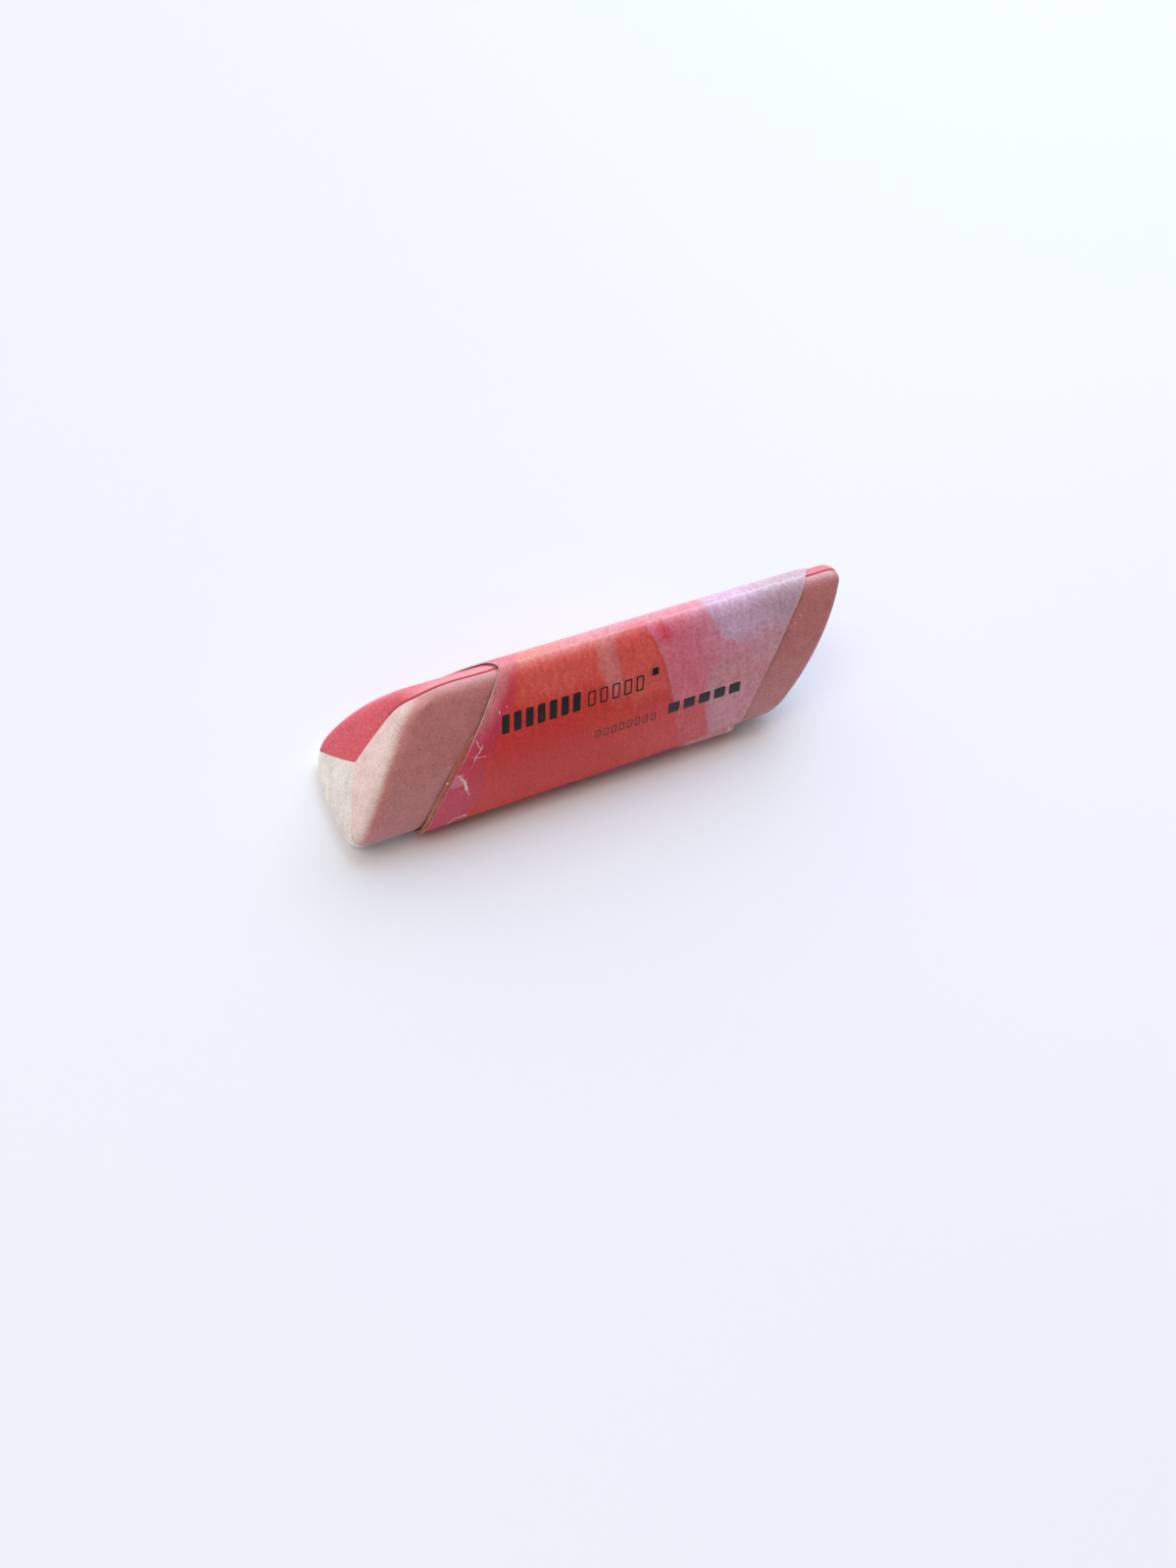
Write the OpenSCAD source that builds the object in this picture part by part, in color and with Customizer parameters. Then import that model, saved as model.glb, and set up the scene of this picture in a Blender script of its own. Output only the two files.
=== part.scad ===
// Three-colour rubber eraser: a bar of rounded triangular section with slanted ends,
// in a folded card sleeve that slides along it. Millimetres. The bar lies along X and
// stands on its base at Z = 0, with the ridge on top.

/* [Rubber bar] */
// Distance from the middle of the section to the tip of each long corner
corner_reach = 9; // [7:0.5:12]
// Radius of the three long corners
corner_r = 2.5; // [1.8:0.1:3.5]
// How far the front and back faces stand out at their middle
face_bulge = 0.6; // [0.2:0.1:1]
// How far the base stands out at its middle
base_bulge = 0.15; // [0.05:0.05:0.8]
// Length of the bar, measured along the middle of its section
bar_len = 56.2; // [48:0.2:90]

/* [Slanted ends] */
// Angle between each end and the base
end_angle = 52; // [45:1:80]
// Radius of each end's blunt corner, seen from the front
blunt_r = 5.3; // [2:0.1:6.5]
// Radius of each end's sharp corner, seen from the front
sharp_r = 0.5; // [0.3:0.1:2]
// How far each end stands out at its middle
end_dome = 1.1; // [0:0.1:2]
// Radius of the edge that runs round each end
end_edge_r = 1.6; // [0.5:0.1:1.7]

/* [Three colours] */
// Height of the line where the three colours meet, above the middle of the section
meet_up = 1.1; // [-1.5:0.1:1.5]
// How far forward of the middle that line lies
meet_front = 0.4; // [-1.5:0.1:1.5]

/* [Card sleeve] */
// Thickness of the card
card_t = 0.25; // [0.15:0.05:0.5]
// Clearance between the rubber and the card
fit_gap = 0.1; // [0.05:0.01:0.3]
// Clearance over the ridge, where the fold stands off the rubber
ridge_gap = 0.35; // [0.1:0.05:0.8]
// Length of the sleeve along the bar
sleeve_len = 38.8; // [20:0.2:44]
// How far the sleeve's middle lies right of the bar's
sleeve_shift = 0.8; // [-4:0.1:4]
// Angle between the sleeve's cut ends and the base
cut_angle = 47.5; // [45:0.5:80]
// Height of the glue tab's top edge above the floor
tab_top = 12; // [8:0.1:12.5]
// How far the glue tab sticks out past the front panel's left cut
tab_out = 0.7; // [0:0.1:1.5]
// Direction that the fold faces where the front panel's free edge ends, in degrees below level
free_edge_down = 12; // [0:1:40]

/* [Hidden] */

// Steps along the corners, the faces, the end edges and in towards the middle
CORNER_STEPS = 8;
FACE_STEPS = 14;
EDGE_STEPS = 6;
CAP_STEPS = 5;
// Longer and wider than the whole eraser, for the blocks that trim the sleeve
BEYOND = 200;
// Two points nearer than this count as one
SAME_POINT = 0.001;

// The section: corner centres, and the radius of the arcs that join them
centre_reach = corner_reach - corner_r;
ridge_c = [0, centre_reach];
front_c = [-centre_reach * cos(30), -centre_reach / 2];
back_c = [centre_reach * cos(30), -centre_reach / 2];
chord = centre_reach * sqrt(3);
// The radius of a face that stands out by bulge between two corners
function arc_radius(bulge) = (chord * chord / 4 + bulge * bulge) / (2 * bulge) + corner_r;
face_r = arc_radius(face_bulge);
base_r = arc_radius(base_bulge);
base_depth = centre_reach / 2 + corner_r + base_bulge;
mid_height = (corner_reach - base_depth) / 2;
meet = [-meet_front, meet_up];

// The bar's middle line stands this high, and the model is centred over its footprint
axis_height = card_t + fit_gap + base_depth;
centre_x = mid_height / tan(end_angle);

// The middle of an arc of radius r that joins the circles (a, ra) and (b, rb), bulging outwards
function arc_centre(a, ra, b, rb, r) =
    let(gap = norm(b - a), u = (b - a) / gap,
        along = (gap * gap + (r - ra) * (r - ra) - (r - rb) * (r - rb)) / (2 * gap))
    a + along * u + sqrt((r - ra) * (r - ra) - along * along) * [-u[1], u[0]];
// The direction of v in degrees, counted on from straight up: 90 up to 450
function heading(v) = let(angle = atan2(v[1], v[0])) angle < 90 - 0.001 ? angle + 360 : angle;

// Each point of an outline is [Y, Z, direction that it faces]
function arc_points(c, r, from, to, steps) =
    [for (i = [0:steps]) let(angle = from + (to - from) * i / steps)
        [c[0] + r * cos(angle), c[1] + r * sin(angle), angle]];

// Half of corner a, the face from a to b, and half of corner b
function face_points(a, ra, b, rb, r, from, to) =
    let(o = arc_centre(a, ra, b, rb, r), leave = heading(a - o), arrive = heading(b - o))
    concat(
        arc_points(a, ra, from, leave, CORNER_STEPS),
        arc_points(o, r, leave, arrive, FACE_STEPS),
        arc_points(b, rb, arrive, to, CORNER_STEPS));

// Drops a point that lies on the one before it, where a corner passes into a face
function without_repeats(points) = [for (i = [0:len(points) - 1])
    if (i == 0 || norm([points[i][0], points[i][1]] - [points[i - 1][0], points[i - 1][1]]) > SAME_POINT)
        points[i]];

// Ends of the bar. Seen from the front, an end is a slanted line with a rounded corner at
// the top (blunt) and at the bottom (sharp). Each function gives the distance along X.
function blunt_corner(z) =
    let(cz = corner_reach - blunt_r, cx = (blunt_r + cz * cos(end_angle)) / sin(end_angle),
        dz = min(max(z - cz, -blunt_r), blunt_r))
    z > cz + blunt_r * cos(end_angle)
        ? cx - sqrt(max(blunt_r * blunt_r - dz * dz, 0)) - z / tan(end_angle) : 0;
function sharp_corner(z) =
    let(cz = sharp_r - base_depth, cx = (sharp_r + cz * cos(end_angle)) / sin(end_angle),
        dz = min(max(z - cz, -sharp_r), sharp_r))
    z < cz + sharp_r * cos(end_angle)
        ? max(cx - sqrt(max(sharp_r * sharp_r - dz * dz, 0)) - z / tan(end_angle), 0) : 0;
function dome(y, z) = end_dome * (y * y + (z - mid_height) * (z - mid_height)) / (corner_reach * corner_reach);
function left_end(y, z) =
    z / tan(end_angle) + blunt_corner(z) + sharp_corner(z) + dome(y, z) - bar_len / 2;
// The right end is the left end turned half round about the bar's middle height
function right_end(y, z) = 2 * mid_height / tan(end_angle) - left_end(y, 2 * mid_height - z);

// Rings of a strip, from its outer edge in: first down round the end's edge, then to the meeting line
function inset(k) = end_edge_r * (1 - cos(90 * k / EDGE_STEPS));
function set_back(k) = end_edge_r * (1 - sin(90 * k / EDGE_STEPS));
function ring_point(p, k) =
    let(edge = [p[0], p[1]] - inset(min(k, EDGE_STEPS)) * [cos(p[2]), sin(p[2])],
        f = k > EDGE_STEPS ? (k - EDGE_STEPS) / CAP_STEPS : 0)
    edge + (meet - edge) * f;
function left_point(p, k) =
    let(q = ring_point(p, k)) [left_end(q[0], q[1]) + set_back(min(k, EDGE_STEPS)), q[0], q[1]];
function right_point(p, k) =
    let(q = ring_point(p, k)) [right_end(q[0], q[1]) - set_back(min(k, EDGE_STEPS)), q[0], q[1]];

// One strip of the bar, between two corners: its outline, both ends and the two bonded sides
module strip(outline) {
    n = len(outline);
    rings = EDGE_STEPS + CAP_STEPS;
    side = rings * n + 1;
    left_grid = [for (k = [0:rings - 1]) for (p = outline) left_point(p, k)];
    right_grid = [for (k = [0:rings - 1]) for (p = outline) right_point(p, k)];
    points = concat(
        left_grid, [left_point(outline[0], rings)],
        right_grid, [right_point(outline[0], rings)]);
    left_caps = [for (k = [0:rings - 2]) for (i = [0:n - 2])
        each [[k * n + i, k * n + i + 1, k * n + n + i + 1], [k * n + i, k * n + n + i + 1, k * n + n + i]]];
    left_tip = [for (i = [0:n - 2]) [(rings - 1) * n + i, (rings - 1) * n + i + 1, side - 1]];
    right_caps = [for (f = concat(left_caps, left_tip)) [f[0] + side, f[2] + side, f[1] + side]];
    outer = [for (i = [0:n - 2]) each [[i, i + side, i + 1 + side], [i, i + 1 + side, i + 1]]];
    seams = [for (k = [0:rings - 1]) for (e = [0, n - 1])
        let(a = k * n + e, b = k == rings - 1 ? side - 1 : a + n)
        each (e == 0 ? [[a, b, b + side], [a, b + side, a + side]] : [[a, a + side, b + side], [a, b + side, b]])];
    translate([-centre_x, 0, axis_height])
        polyhedron(points = points, faces = concat(left_caps, left_tip, right_caps, outer, seams));
}

module rubber_front_pink() {
    color([0.80, 0.55, 0.53])
        strip(without_repeats(face_points(ridge_c, corner_r, front_c, corner_r, face_r, 90, 210)));
}

module rubber_base_white() {
    color([0.88, 0.85, 0.80])
        strip(without_repeats(face_points(front_c, corner_r, back_c, corner_r, base_r, 210, 330)));
}

module rubber_back_coral() {
    color([0.88, 0.38, 0.43])
        strip(without_repeats(face_points(back_c, corner_r, ridge_c, corner_r, face_r, 330, 450)));
}

// The sleeve's folds turn about the bar's corners. Its base panel is flat and clears the bulge
// of the bar's base, so its two lower folds sit further out along the front and back faces.
front_fold_c = front_c + base_bulge * [-tan(30), -1];
back_fold_c = back_c + base_bulge * [tan(30), -1];
ridge_in = corner_r + ridge_gap;
fold_in = corner_r + fit_gap;
panel_r = face_r + fit_gap;
free_edge = 180 + free_edge_down;
hair = 0.01;
// How far short of the front panel's right cut the tab stops
tab_in = 1;

function flat(points) = [for (p = points) [p[0], p[1]]];

// The outside of one layer of card, at distance out from the inside of the fold. On the front,
// lap is the further thickness that the glued tab gives, from the ridge down to the angle lap_end.
function card_outline(out, lap, lap_end) =
    let(front = arc_centre(ridge_c, ridge_in + out, front_fold_c, fold_in + out + lap, panel_r + out + lap),
        back = arc_centre(back_fold_c, fold_in + out, ridge_c, ridge_in + out, panel_r + out),
        front_leave = heading(ridge_c - front), front_meet = heading(front_fold_c - front),
        back_leave = heading(back_fold_c - back), back_meet = heading(ridge_c - back))
    flat(concat(
        arc_points(ridge_c, ridge_in + out, back_meet - 360, front_leave, 2 * CORNER_STEPS),
        arc_points(front, panel_r + out + lap, front_leave, front_meet, FACE_STEPS),
        arc_points(front_fold_c, fold_in + out + lap, front_meet, lap_end, CORNER_STEPS),
        arc_points(front_fold_c, fold_in + out, lap_end, 270, CORNER_STEPS),
        arc_points(back_fold_c, fold_in + out, 270, back_leave, CORNER_STEPS),
        arc_points(back, panel_r + out, back_leave, back_meet, FACE_STEPS)));

// Where the glue tab lies: from its top edge down the front face and round the lower front fold
module tab_region() {
    top = tab_top - axis_height;
    polygon([[-BEYOND, top], [-BEYOND, -BEYOND], [front_fold_c[0], -BEYOND],
        front_fold_c, [0, front_fold_c[1]], [0, top]]);
}

// The wrapped section: two layers where the tab lies bonded under the front panel, and one elsewhere
module sleeve_section() {
    difference() {
        polygon(card_outline(card_t, card_t, free_edge));
        polygon(card_outline(0, 0, free_edge));
        difference() {
            polygon(card_outline(0, card_t, free_edge));
            tab_region();
            translate([-BEYOND, -BEYOND]) square([2 * BEYOND, BEYOND + front_fold_c[1]]);
        }
    }
}

// The tab alone, a hair thinner than the card so that it lies inside the bonded layers
module tab_section() {
    intersection() {
        difference() {
            polygon(card_outline(card_t - hair, 0, free_edge));
            polygon(card_outline(hair, 0, free_edge));
        }
        tab_region();
    }
}

// Carries a section in (Y, Z) along X
module along_x() {
    rotate([90, 0, 90]) linear_extrude(BEYOND, center = true) children();
}

// A slanted block that the die cut leaves: its two slanted sides are the sleeve's ends
module between_cuts(left, right) {
    rise = BEYOND / 8;
    lean = rise / tan(cut_angle);
    rotate([90, 0, 0]) linear_extrude(BEYOND, center = true)
        polygon([[left - lean, -rise], [right - lean, -rise], [right + lean, rise], [left + lean, rise]]);
}

module card_sleeve() {
    left = sleeve_shift - sleeve_len / 2;
    right = sleeve_shift + sleeve_len / 2;
    color([0.78, 0.28, 0.30])
        translate([-centre_x, 0, axis_height]) {
            intersection() {
                along_x() sleeve_section();
                between_cuts(left, right);
            }
            intersection() {
                along_x() tab_section();
                between_cuts(left - tab_out, right - tab_in);
            }
        }
}

rubber_front_pink();
rubber_back_coral();
rubber_base_white();
card_sleeve();
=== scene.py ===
# %% [markdown]
# # A three-colour eraser in a card sleeve
#
# The real object is a small bar of soft rubber with a rounded triangular section. Three strips,
# dusty pink, coral and off-white, were pressed together and cured, and both ends were then cut on
# a slant. A folded card sleeve is glued round the bar and slides along it.
#
# The imported CAD model holds the true sizes. This lesson builds finer surfaces in the same place:
# each one is worked out as a grid of points with numpy, and then gets a material made of nodes.
# The first step loads the CAD frame and keeps its parts, to read their boxes.

# %% Load the CAD frame
import math

import bpy
import numpy as np
from mathutils import Matrix, Vector


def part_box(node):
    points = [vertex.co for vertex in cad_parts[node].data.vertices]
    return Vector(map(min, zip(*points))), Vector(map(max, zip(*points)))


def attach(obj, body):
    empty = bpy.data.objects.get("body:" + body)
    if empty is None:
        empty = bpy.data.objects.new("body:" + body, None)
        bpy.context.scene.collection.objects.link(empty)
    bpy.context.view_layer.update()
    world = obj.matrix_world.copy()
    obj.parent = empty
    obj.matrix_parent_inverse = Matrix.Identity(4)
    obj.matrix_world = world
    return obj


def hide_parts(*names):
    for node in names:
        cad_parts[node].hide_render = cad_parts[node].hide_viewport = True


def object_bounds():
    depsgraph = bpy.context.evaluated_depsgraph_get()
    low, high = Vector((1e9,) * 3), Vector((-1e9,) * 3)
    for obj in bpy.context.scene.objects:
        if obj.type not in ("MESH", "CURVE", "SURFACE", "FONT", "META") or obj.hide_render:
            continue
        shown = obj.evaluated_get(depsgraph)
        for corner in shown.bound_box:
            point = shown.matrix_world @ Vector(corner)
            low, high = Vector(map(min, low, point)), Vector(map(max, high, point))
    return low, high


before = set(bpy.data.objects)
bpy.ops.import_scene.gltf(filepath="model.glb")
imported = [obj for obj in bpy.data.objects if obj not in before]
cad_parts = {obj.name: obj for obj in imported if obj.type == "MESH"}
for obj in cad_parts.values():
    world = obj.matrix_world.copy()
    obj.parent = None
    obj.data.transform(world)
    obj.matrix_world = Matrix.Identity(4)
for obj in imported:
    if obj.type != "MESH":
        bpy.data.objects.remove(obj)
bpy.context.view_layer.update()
mm = 0.001

# %% [markdown]
# ## The section of the bar
#
# A mould for such a bar is cut with a few radii: three corners of one radius, joined by faces that
# bulge a little. So the section could be drawn by hand as a curve, but arcs say it exactly: every
# arc is tangent to the next, so the light rolls over the corners without a break.
# Points of a section are rows of (y, z, facing): where the point lies from the section's middle,
# and the direction that the surface faces there, as an angle from +Y towards +Z.

# %% The section's own sizes
corner_reach = 9.0 * mm
corner_r = 2.5 * mm
face_bulge = 0.6 * mm
base_bulge = 0.15 * mm
centre_reach = corner_reach - corner_r
ridge_centre = np.array([0.0, centre_reach])
front_centre = centre_reach * np.array([-math.cos(math.pi / 6), -0.5])
back_centre = front_centre * [-1, 1]
print("corner centres lie", round(centre_reach / mm, 2), "mm from the middle")


# %% Arcs that meet without a break
def arc(centre, radius, start, end, steps=72):
    """An arc as rows (y, z, facing): centre + radius * (cos, sin) of an angle from start to end, in
    degrees."""
    facing = np.radians(np.linspace(start, end, steps))
    return np.column_stack((centre[0] + radius * np.cos(facing), centre[1] + radius * np.sin(facing), facing))


def bulge_radius(bulge):
    """Radius of a face between two corners: chord^2 / 8 bulge + bulge / 2, plus the corner's own radius."""
    chord = centre_reach * math.sqrt(3)
    return (chord**2 / 4 + bulge**2) / (2 * bulge) + corner_r


def face_centre(a, radius_a, b, radius_b, radius):
    """Centre of an arc tangent to the circles at a and b: the point radius - radius_a and radius -
    radius_b from them."""
    gap = np.linalg.norm(b - a)
    u = (b - a) / gap
    along = (gap**2 + (radius - radius_a) ** 2 - (radius - radius_b) ** 2) / (2 * gap)
    return a + along * u + math.sqrt((radius - radius_a) ** 2 - along**2) * np.array([-u[1], u[0]])


def heading(v, lowest=90):
    """Direction of v in degrees, between lowest and lowest + 360."""
    return (math.degrees(math.atan2(v[1], v[0])) - lowest + 1e-6) % 360 + lowest


def corner_face_corner(a, radius_a, b, radius_b, radius, start, end):
    """Half a corner from the angle start, a bulging face, and half a corner to the angle end."""
    middle = face_centre(a, radius_a, b, radius_b, radius)
    leave, arrive = heading(a - middle), heading(b - middle)
    return np.concatenate((
        arc(a, radius_a, start, leave),
        arc(middle, radius, leave, arrive)[1:],
        arc(b, radius_b, arrive, end)[1:],
    ))


print(f"a face that bulges {face_bulge / mm:.1f} mm has a radius of {bulge_radius(face_bulge) / mm:.1f} mm")


# %% The outline of each strip
def distances(outline):
    """Distance along an outline up to each of its points."""
    return np.concatenate(([0], np.cumsum(np.hypot(*np.diff(outline[:, :2], axis=0).T))))


def at_distance(outline, distance):
    """The outline's rows at the given distances along it."""
    along = distances(outline)
    return np.stack([np.interp(distance, along, column) for column in outline.T], axis=-1)


face_r = bulge_radius(face_bulge)
base_r = bulge_radius(base_bulge)
outlines = {
    "pink": corner_face_corner(ridge_centre, corner_r, front_centre, corner_r, face_r, 90, 210),
    "white": corner_face_corner(front_centre, corner_r, back_centre, corner_r, base_r, 210, 330),
    "coral": corner_face_corner(back_centre, corner_r, ridge_centre, corner_r, face_r, 330, 450),
}
around_bar = sum(distances(o)[-1] for o in outlines.values())
print(f"the section is {around_bar / mm:.1f} mm round, and its base has a radius of {base_r / mm:.1f} mm")

# %% [markdown]
# ## The slanted ends
#
# A knife cut leaves an end that is nearly flat, and tumbling the erasers afterwards rounds it. Seen
# from the front, an end is a straight slanted line with a large round at its blunt corner and a
# small one at its sharp corner. As a formula this is one function of (y, z) that says how far along
# X the end lies, so every point of every strip can ask it. The right end is the left one turned
# half round.

# %% Where the ends lie
bar_length = 56.2 * mm
end_angle = math.radians(52)
blunt_r = 5.3 * mm
sharp_r = 0.5 * mm
end_dome = 1.1 * mm
end_edge_r = 1.6 * mm
base_depth = centre_reach / 2 + corner_r + base_bulge
middle_height = (corner_reach - base_depth) / 2
bar_middle = np.array([
    -middle_height / math.tan(end_angle),
    0,
    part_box("rubber_front_pink")[1].z - corner_reach,
])


def corner_cut(z, centre_z, radius, side):
    """What rounding a corner takes off a slanted line: the round's circle less the line, past where they
    touch."""
    centre_x = (radius + centre_z * math.cos(end_angle)) / math.sin(end_angle)
    dz = np.clip(z - centre_z, -radius, radius)
    rounded = centre_x - np.sqrt(radius**2 - dz**2) - z / math.tan(end_angle)
    past = side * (z - centre_z) > side * radius * math.cos(end_angle)
    return np.where(past, np.maximum(rounded, 0), 0)


def left_end(y, z):
    """X of the left end: half the length back, plus the slant z / tan(angle), the two rounds and a
    shallow dome."""
    blunt = corner_cut(z, corner_reach - blunt_r, blunt_r, 1)
    sharp = corner_cut(z, sharp_r - base_depth, sharp_r, -1)
    dome = end_dome * (y**2 + (z - middle_height) ** 2) / corner_reach**2
    return z / math.tan(end_angle) + blunt + sharp + dome - bar_length / 2


def right_end(y, z):
    """X of the right end: the left end, turned half round about the bar's middle height."""
    return 2 * middle_height / math.tan(end_angle) - left_end(y, 2 * middle_height - z)


print("ends at mid height:", [round(float(f(0, middle_height)) / mm, 2) for f in (left_end, right_end)])

# %% [markdown]
# ## From grids to meshes
#
# A grid of points becomes a mesh by joining each point to its neighbours. Some grids meet in a
# line or shrink to a point, such as the tip of a strip, so the doubled points are merged and the
# slivers with no area go. Numpy makes all the face numbers at once, and from_pydata takes them.

# %% Mesh helpers
def grid_faces(rows, columns, first=0, flip=False):
    """Faces of a grid: each is a point, the next in its row, and the two across from them in the next row."""
    number = first + np.arange(rows * columns).reshape(rows, columns)
    quads = np.stack((number[:-1, :-1], number[:-1, 1:], number[1:, 1:], number[1:, :-1]), axis=-1)
    quads = quads.reshape(-1, 4)
    return quads[:, ::-1] if flip else quads


def join_grids(grids):
    """Points and faces of several (rows, columns, 3) grids, each with a True where its faces turn the
    other way."""
    points, faces, first = [], [], 0
    for grid, flip in grids:
        points.append(grid.reshape(-1, 3))
        faces.append(grid_faces(*grid.shape[:2], first, flip))
        first += len(points[-1])
    return np.concatenate(points), np.concatenate(faces)


def merged(points, faces, near=1e-7):
    """Gives points that share a place one number, and drops the repeated corners that this leaves."""
    _, first, number = np.unique(np.round(points / near).astype(np.int64), axis=0, return_index=True,
                                 return_inverse=True)
    faces = number.reshape(-1)[faces]
    repeated = faces == np.roll(faces, 1, axis=1)
    quads = faces[repeated.sum(axis=1) == 0]
    once = repeated.sum(axis=1) == 1
    triangles = faces[once][~repeated[once]].reshape(-1, 3)
    return points[first], quads.tolist() + triangles.tolist()


def make_piece(name, points, faces, body, node, sharp_degrees=40):
    """A finished mesh at the origin that rides on a CAD body and stands for a CAD node."""
    mesh = bpy.data.meshes.new(name)
    mesh.from_pydata(points.tolist(), [], faces)
    mesh.validate()
    mesh.shade_smooth()
    mesh.set_sharp_from_angle(angle=math.radians(sharp_degrees))
    piece = bpy.data.objects.new(name, mesh)
    bpy.context.scene.collection.objects.link(piece)
    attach(piece, body)
    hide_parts(node)
    return piece


def set_attribute(piece, name, values):
    """Stores one number a vertex, for the material to read."""
    attribute = piece.data.attributes.new(name, "FLOAT", "POINT")
    attribute.data.foreach_set("value", np.asarray(values, np.float32))


def smooth_step(x, low, high):
    """0 up to low, 1 from high, and 3 t^2 - 2 t^3 between them."""
    t = np.clip((x - low) / (high - low), 0, 1)
    return t * t * (3 - 2 * t)


print("mesh helpers ready")

# %% [markdown]
# ## The strips of rubber
#
# Each strip is a wedge of the section: an outer face from one corner's tip to the next, two ends,
# and two bonded walls inside the bar. One grid covers the outside. Its rows start at the tip on
# the left end, where the three colours meet, run out over the end, roll over the edge, go along
# the bar, and come back over the right end. Two more grids are the walls.

# %% Rows of a strip
meet = np.array([-0.4, 1.1]) * mm
ROUND_ROWS = 14
END_ROWS = 26
SIDE_ROWS = 170
ACROSS = 120


def end_rings(outline, end, direction):
    """Rings of one end, from the meeting point out to the side. The edge is a quarter circle: set in by r
    (1 - cos) and back by r (1 - sin). Inside it, the rings shrink in a straight line to the meeting
    point."""
    tips = np.stack((np.cos(outline[:, 2]), np.sin(outline[:, 2])), axis=-1)
    turn = np.concatenate((np.full(END_ROWS, math.pi / 2), np.linspace(math.pi / 2, 0, ROUND_ROWS)))
    shrink = np.concatenate((np.linspace(1, 0, END_ROWS + 1)[:-1], np.zeros(ROUND_ROWS)))
    set_in = end_edge_r * (1 - np.cos(turn))[:, None, None]
    set_back = end_edge_r * (1 - np.sin(turn))[:, None]
    ring = outline[None, :, :2] - set_in * tips
    ring = ring + (meet - ring) * shrink[:, None, None]
    x = end(ring[..., 0], ring[..., 1]) + direction * set_back
    return np.concatenate((x[..., None], ring), axis=-1)


def between(left, right, steps):
    """Rows in equal steps from left to right, on straight lines along X."""
    t = np.linspace(0, 1, steps)[:, None, None]
    return left + (right - left) * t


def strip_grids(outline):
    """The outside of a strip as one grid, and its two bonded walls as one each."""
    share = np.linspace(0, 1, ACROSS)
    closer = share - 0.6 * np.sin(2 * math.pi * share) / (2 * math.pi)
    outline = at_distance(outline, closer * distances(outline)[-1])
    left, right = end_rings(outline, left_end, 1), end_rings(outline, right_end, -1)
    side = between(left[-1], right[-1], SIDE_ROWS)
    outside = np.concatenate((left[:-1], side, right[-2::-1]))
    walls = [between(left[:, i], right[:, i], SIDE_ROWS).transpose(1, 0, 2) for i in (0, -1)]
    return [(outside, False), (walls[0], False), (walls[1], True)]


print("a strip's outside has", (2 * (END_ROWS + ROUND_ROWS) + SIDE_ROWS - 2) * ACROSS, "points")

# %% [markdown]
# ## Handling marks in the rubber
#
# The bonded seams wander a little, because soft strips creep under the press, and a rubber corner
# picks up small pits and dents. Moving points by where they are, and not by which strip they
# belong to, keeps the shared seams closed: both strips are pushed in the same way.

# %% Seams that wander, pits and dents
corner_places = {90: ridge_centre, 210: front_centre, 330: back_centre}


def wander(points):
    """Turns points near a corner about that corner's centre, by a slow wave along X that fades inwards."""
    for angle, centre in corner_places.items():
        offset = points[:, 1:] - centre
        reach = offset @ [math.cos(math.radians(angle)), math.sin(math.radians(angle))]
        x = points[:, 0] / mm
        wave = 0.05 * np.sin(x / 3.1 + angle) + 0.035 * np.sin(x / 1.3 + 2 * angle)
        turn = wave * smooth_step(reach, -0.5 * mm, corner_r)
        c, s = np.cos(turn), np.sin(turn)
        points = np.column_stack((
            points[:, 0],
            centre[0] + c * offset[:, 0] - s * offset[:, 1],
            centre[1] + s * offset[:, 0] + c * offset[:, 1],
        ))
    return points


# Each dent: x, y and z of its middle in mm from the bar's middle, its radius and its depth
DENTS = [
    (-20.6, -4.3, 5.0, 0.30, 0.12),
    (-19.6, -5.5, 3.1, 0.16, 0.08),
    (-30.6, -5.6, -3.6, 0.4, 0.08),
    (-31.3, -4.9, -4.5, 0.3, 0.06),
    (-24.6, -7.6, -3.0, 1.1, 0.05),
    (24.5, -5.6, 1.2, 0.3, 0.05),
    (-16.9, 1.0, 8.6, 0.5, 0.05),
]


def dented(points):
    """Pushes points towards the bar's middle line by depth * exp(-(distance / radius)^2) for each dent."""
    for x, y, z, radius, depth in DENTS:
        distance = np.linalg.norm(points - np.array([x, y, z]) * mm, axis=1)
        inward = -points * [0.4, 1, 1]
        inward /= np.maximum(np.linalg.norm(inward, axis=1), mm)[:, None]
        points = points + inward * (depth * mm * np.exp(-((distance / (radius * mm)) ** 2)))[:, None]
    return points


seam_width = 0.1 * mm
seam_depths = {90: 0.05 * mm, 210: 0.012 * mm, 330: 0.03 * mm}


def from_seam(points):
    """How far a point is from the nearest bonded seam on the surface: its distance from a corner's middle
    plane."""
    nearest = np.full(len(points), np.inf)
    for angle, centre in corner_places.items():
        toward = np.array([math.cos(math.radians(angle)), math.sin(math.radians(angle))])
        offset = points[:, 1:] - centre
        aside = np.abs(offset @ [-toward[1], toward[0]])
        nearest = np.minimum(nearest, np.where(offset @ toward > 0, aside, np.inf))
    return nearest


def grooved(points):
    """A fine groove along each seam: the point sinks towards the corner's centre by depth * exp(-(d /
    width)^2)."""
    nearness = np.exp(-((from_seam(points) / seam_width) ** 2))
    moved = points.copy()
    for angle, centre in corner_places.items():
        offset = points[:, 1:] - centre
        reach = np.linalg.norm(offset, axis=1)
        near = (reach > 0.7 * corner_r) & (reach < 1.1 * corner_r)
        depth = seam_depths[angle] * nearness
        moved[:, 1:] -= np.where(near, depth / np.maximum(reach, corner_r / 2), 0)[:, None] * offset
    return moved


print(len(DENTS), "dents, and grooves", [round(d / mm, 3) for d in seam_depths.values()], "mm deep")

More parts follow.
